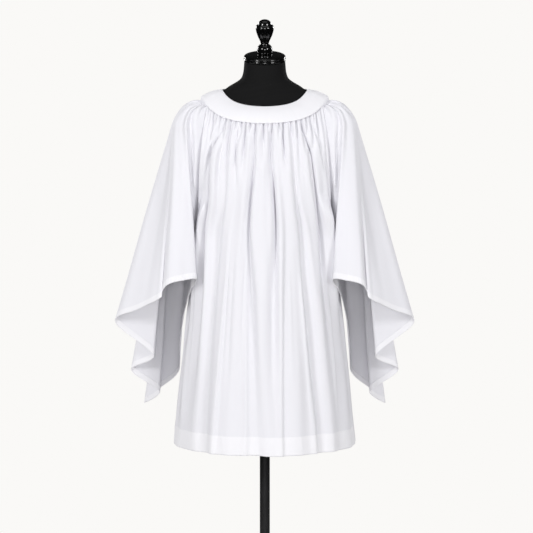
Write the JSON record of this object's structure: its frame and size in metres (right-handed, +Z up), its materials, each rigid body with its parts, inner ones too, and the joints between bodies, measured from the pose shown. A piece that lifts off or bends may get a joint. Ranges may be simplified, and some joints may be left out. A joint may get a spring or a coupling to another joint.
{
  "type": "surplice on a limbless dress form",
  "caption": "White surplice with a smooth round yoke, gathered body and wide bell sleeves, worn by a black limbless dress form on a pole stand.",
  "frame": {"origin": "on the floor, at the centre of the round base's underside", "axes": "+Z up, the surplice's front faces -Y, the wearer's left is +X"},
  "size_m": [0.821, 0.3883, 1.6944],
  "materials": {
    "white_cloth": "matte plain-woven white cloth, faintly sheer, doubled at the yoke and hems",
    "black_cover": "matte black cover cloth stretched smooth over the form",
    "black_wood": "turned wood in gloss black lacquer",
    "black_steel": "satin black paint on steel"
  },
  "bodies": {
    "root": {"yoke_front": "white_cloth", "yoke_back": "white_cloth", "body_front": "white_cloth", "body_back": "white_cloth", "hem_front": "white_cloth", "hem_back": "white_cloth", "sleeve_right": "white_cloth", "sleeve_left": "white_cloth", "sleeve_hem_right": "white_cloth", "sleeve_hem_left": "white_cloth", "form_torso": "black_cover", "neck_cap": "black_wood", "finial": "black_wood", "torso_board": "black_wood", "pole": "black_steel", "base_plate": "black_steel"}
  },
  "joints": []
}
